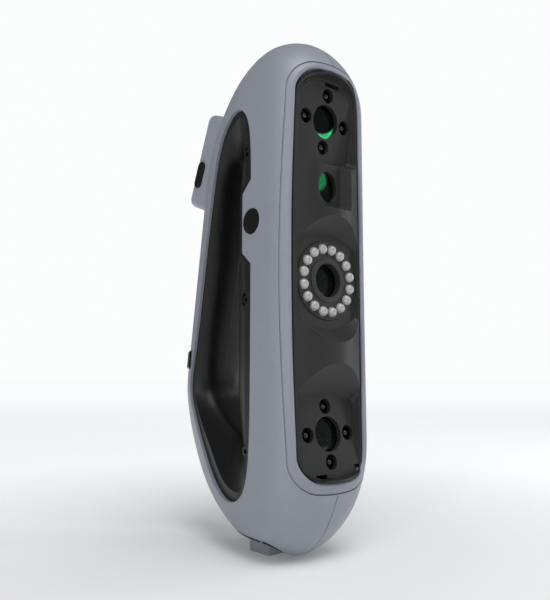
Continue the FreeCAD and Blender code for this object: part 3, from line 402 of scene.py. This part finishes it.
# the dark bead along the step in the underside, a painted shadow under the step's edge: y and z of its path,
# how far it is sunk in, its radius
STEP_FRONT_Y, STEP_TOP_Z, STEP_ROUND = -32.9, 9.25, 3.5
STEP_SHADE_PATH = [(STEP_FRONT_Y, z) for z in (3.0, 4.0, 5.0)]
STEP_SHADE_PATH += [(STEP_FRONT_Y + STEP_ROUND * (1 - math.cos(a)), STEP_TOP_Z - STEP_ROUND * (1 - math.sin(a)))
                for a in (math.pi / 16 * i for i in range(1, 9))]
STEP_SHADE_PATH += [(y, STEP_TOP_Z) for y in (-26.0, -22.0, -18.0, -14.0, -10.0, -6.0, -2.0, 2.0, 5.0)]
STEP_SHADE_SINK, STEP_SHADE_R = 0.1, 0.62
# the dark bead round the optics panel, painted shade in the gap under the bezel's inner edge: points along
# it, how far inside the panel's outline, its radius
SHADE_BEAD_POINTS, SHADE_BEAD_INSET, SHADE_BEAD_R = 260, 0.3, 0.5


def surface_of(node):
    """A ray-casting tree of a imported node's surface."""
    world = nodes[node].matrix_world
    return BVHTree.FromPolygons([world @ vertex.co for vertex in nodes[node].data.vertices],
                                [tuple(polygon.vertices) for polygon in nodes[node].data.polygons])


def front_hit(skin, x, z):
    """Where a ray from in front meets the surface at x and z in metres, or None."""
    return skin.ray_cast(Vector((x, -RAY_START, z)), Vector((0, 1, 0)))[0]


def add_piece(name, shape, slot, body=BODY):
    """A smooth-shaded mesh from a bmesh, with the look of its slot, on its body."""
    mesh = bpy.data.meshes.new(name)
    shape.to_mesh(mesh)
    shape.free()
    for polygon in mesh.polygons:
        polygon.use_smooth = True
    piece = bpy.data.objects.new(name, mesh)
    scene.collection.objects.link(piece)
    mesh.materials.append(looks[slot].material)
    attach(piece, body)


def bead(points, radius, closed=False):
    """A round bead along points in metres, tapered to nothing at open ends."""
    made = bmesh.new()
    rings = []
    turns = [2 * math.pi * k / BEAD_SIDES for k in range(BEAD_SIDES)]
    count = len(points)
    for i, point in enumerate(points):
        before = points[i - 1] if closed or i else points[0]
        after = points[(i + 1) % count] if closed or i < count - 1 else points[-1]
        along = (after - before).normalized()
        side = along.cross(Vector((0, 1, 0))).normalized()
        lift = side.cross(along)
        ends = 1.0 if closed else min(1.0, 0.15 + 2.5 * min(i, count - 1 - i) / count)
        rings.append([made.verts.new(point + (side * math.cos(turn) + lift * math.sin(turn)) * radius * ends)
                      for turn in turns])
    for i in range(count if closed else count - 1):
        near, far = rings[i], rings[(i + 1) % count]
        for k in range(BEAD_SIDES):
            beside = (k + 1) % BEAD_SIDES
            made.faces.new((near[k], near[beside], far[beside], far[k]))
    if not closed:
        made.faces.new(rings[0])
        made.faces.new(list(reversed(rings[-1])))
    bmesh.ops.recalc_face_normals(made, faces=made.faces)
    return made


def slab(width, height, thickness, place, corner):
    """A bar with round ends and soft edges; width and height in X and Z of the place matrix."""
    made = bmesh.new()
    bmesh.ops.create_cube(made, size=1.0)
    bmesh.ops.scale(made, vec=(width, thickness, height), verts=made.verts)
    upright = [edge for edge in made.edges if abs((edge.verts[0].co - edge.verts[1].co).normalized().y) > 0.9]
    bmesh.ops.bevel(made, geom=upright, offset=corner, segments=5, affect="EDGES", profile=0.5)
    bmesh.ops.transform(made, matrix=place, verts=made.verts)
    return made


def pod_place(x, y, z):
    """Matrix of a spot in the pod's own frame, in millimetres; its rear face is at y = 0."""
    return (Matrix.Translation(POD_CENTRE * MM) @ Matrix.Rotation(POD_TILT, 4, "X")
            @ Matrix.Translation(Vector((x, y, z)) * MM))


def add_pod_marks():
    """Plus and minus signs, a ring on the scan button and a level meter on the display."""
    across, upright = (MARK_LONG, MARK_WIDE), (MARK_WIDE, MARK_LONG)
    for name, x, bars in (("plus_mark", MARK_X, (across, upright)), ("minus_mark", -MARK_X, (across,))):
        for i, (width, height) in enumerate(bars):
            add_piece("%s_%d" % (name, i), slab(width * MM, height * MM, MARK_THICK * MM,
                                               pod_place(x, KEY_FACE_Y, MARK_Z), MARK_CORNER * MM),
                      "led_white", name.split("_")[0] + "_key")
    ring = [pod_place(RING_R * math.sin(a), BUTTON_FACE_Y, RING_Z + RING_R * math.cos(a)).translation
            for a in (2 * math.pi * i / RING_POINTS for i in range(RING_POINTS))]
    add_piece("scan_ring", bead(ring, RING_BEAD_R * MM, closed=True), "led_white", "scan_button")
    for i, height in enumerate(BAR_HEIGHTS):
        spot = pod_place(BAR_START_X - BAR_PITCH * i, DISPLAY_FACE_Y, BAR_FOOT_Z + height / 2)
        add_piece("level_bar_%d" % i,
                  slab(BAR_WIDE * MM, height * MM, BAR_THICK * MM, spot, BAR_CORNER * MM), "led_white")


def add_step_shade_bead():
    """A dark bead between the shells and the step in the underside, laid along the step's edge: a painted
    shadow under the step.
    """
    for name, side, shell in (("step_shade_left", -1, "shell_left"), ("step_shade_right", 1, "shell_right")):
        skin = surface_of(shell)
        spots = []
        for y, z in STEP_SHADE_PATH:
            hit = skin.ray_cast(Vector((side * RAY_START, y * MM, z * MM)), Vector((-side, 0, 0)))[0]
            if hit:
                spots.append(hit - Vector((side * STEP_SHADE_SINK * MM, 0, 0)))
        # black bead: painted shadow under the step's edge
        add_piece(name, bead(spots, STEP_SHADE_R * MM), "core_black")


def add_panel_shade_bead():
    """A black bead between the bezel and the optics panel, just inside the panel's outline: painted shade
    where the bezel's inner wall shadows the panel.
    """
    world = nodes["optics_panel"].matrix_world
    flat = [(world @ vertex.co).xz for vertex in nodes["optics_panel"].data.vertices]
    outline = [flat[i] for i in convex_hull_2d(flat)]
    steps = [(outline[(i + 1) % len(outline)] - outline[i]).length for i in range(len(outline))]
    total, skin, spots = sum(steps), surface_of("optics_panel"), []
    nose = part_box("front_bezel")[0][1]      # the bead stays behind the bezel's foremost point
    middle = sum(outline, Vector((0, 0))) / len(outline)
    for k in range(SHADE_BEAD_POINTS):
        left, i = total * k / SHADE_BEAD_POINTS, 0
        while left > steps[i]:
            left -= steps[i]
            i += 1
        ahead = (outline[(i + 1) % len(outline)] - outline[i]).normalized()
        inward = Vector((-ahead.y, ahead.x))
        spot = outline[i] + ahead * left
        if inward.dot(middle - spot) < 0:
            inward = -inward
        spot += inward * SHADE_BEAD_INSET * MM
        hit = front_hit(skin, spot.x, spot.y)
        if hit:
            hit.y = max(hit.y, nose + SHADE_BEAD_R * MM)
            spots.append(hit)
    # black bead: painted shade under the bezel's rim
    add_piece("panel_shade_bead", bead(spots, SHADE_BEAD_R * MM, closed=True), "core_black")


def add_recess_ridges():
    """Thin steps that follow the top corners of the front opening, laid on the optics panel."""
    skin = surface_of("optics_panel")
    for k in range(RIDGE_COUNT):
        inset = RIDGE_START + RIDGE_PITCH * k
        radius = OPENING_CORNER_R - inset
        outline = [(x, OPENING_TOP - inset) for x in RIDGE_TOP_X]
        outline += [(CORNER_X + radius * math.sin(a), CORNER_Z + radius * math.cos(a))
                    for a in (math.pi / 2 * i / RIDGE_STEPS for i in range(RIDGE_STEPS + 1))]
        outline += [(CORNER_X + radius, CORNER_Z - drop) for drop in RIDGE_DROPS]
        for name, side in (("ridge_right", 1), ("ridge_left", -1)):
            spots = []
            for x, z in outline:
                hit = front_hit(skin, side * x * MM, z * MM)
                if hit:
                    spots.append(hit)
            add_piece("%s_%d" % (name, k), bead(spots, RIDGE_R * MM), "panel_black")


# ---- floor ----
def add_floor():
    mesh = bpy.data.meshes.new("floor")
    made = bmesh.new()
    bmesh.ops.create_circle(made, cap_ends=True, segments=FLOOR_SIDES, radius=FLOOR_RADIUS)
    made.to_mesh(mesh)
    made.free()
    floor = bpy.data.objects.new("floor", mesh)
    scene.collection.objects.link(floor)
    floor.location.z = cad_low.z - FLOOR_DROP
    look = Shader("floor_paper")
    base = look.mix(look.noise(3.0, 3.0), PAPER_DARK, PAPER_LIGHT)
    span = look.add("ShaderNodeVectorMath", {"operation": "LENGTH"}, Vector=look.place).outputs["Value"]
    # the paper's glow: dim at the object as painted shadow, rising outwards as painted light
    glow = look.math("ADD", look.remap(span, GLOW_START, GLOW_MIDDLE, *NEAR_GLOW),
                     look.remap(span, GLOW_MIDDLE, GLOW_END, 0.0, FAR_GLOW))
    look.set(Base_Color=base, Roughness=look.remap(look.noise(40, 3.0), 0.3, 0.7, 0.75, 0.85),
             Emission_Color=base, Emission_Strength=glow)
    look.bsdf.inputs["Specular IOR Level"].default_value = 0.1
    mesh.materials.append(look.material)


add_pod_marks()
add_recess_ridges()
add_step_shade_bead()
add_panel_shade_bead()
add_camera()
add_world()
add_floor()
add_sun("sky_key", -12, 64, 1.0, 35)
for row in STRIPS:
    add_area(*row)
add_sun("low_fill", -50, 4, 0.10, 50)
scene.view_settings.view_transform = "Standard"
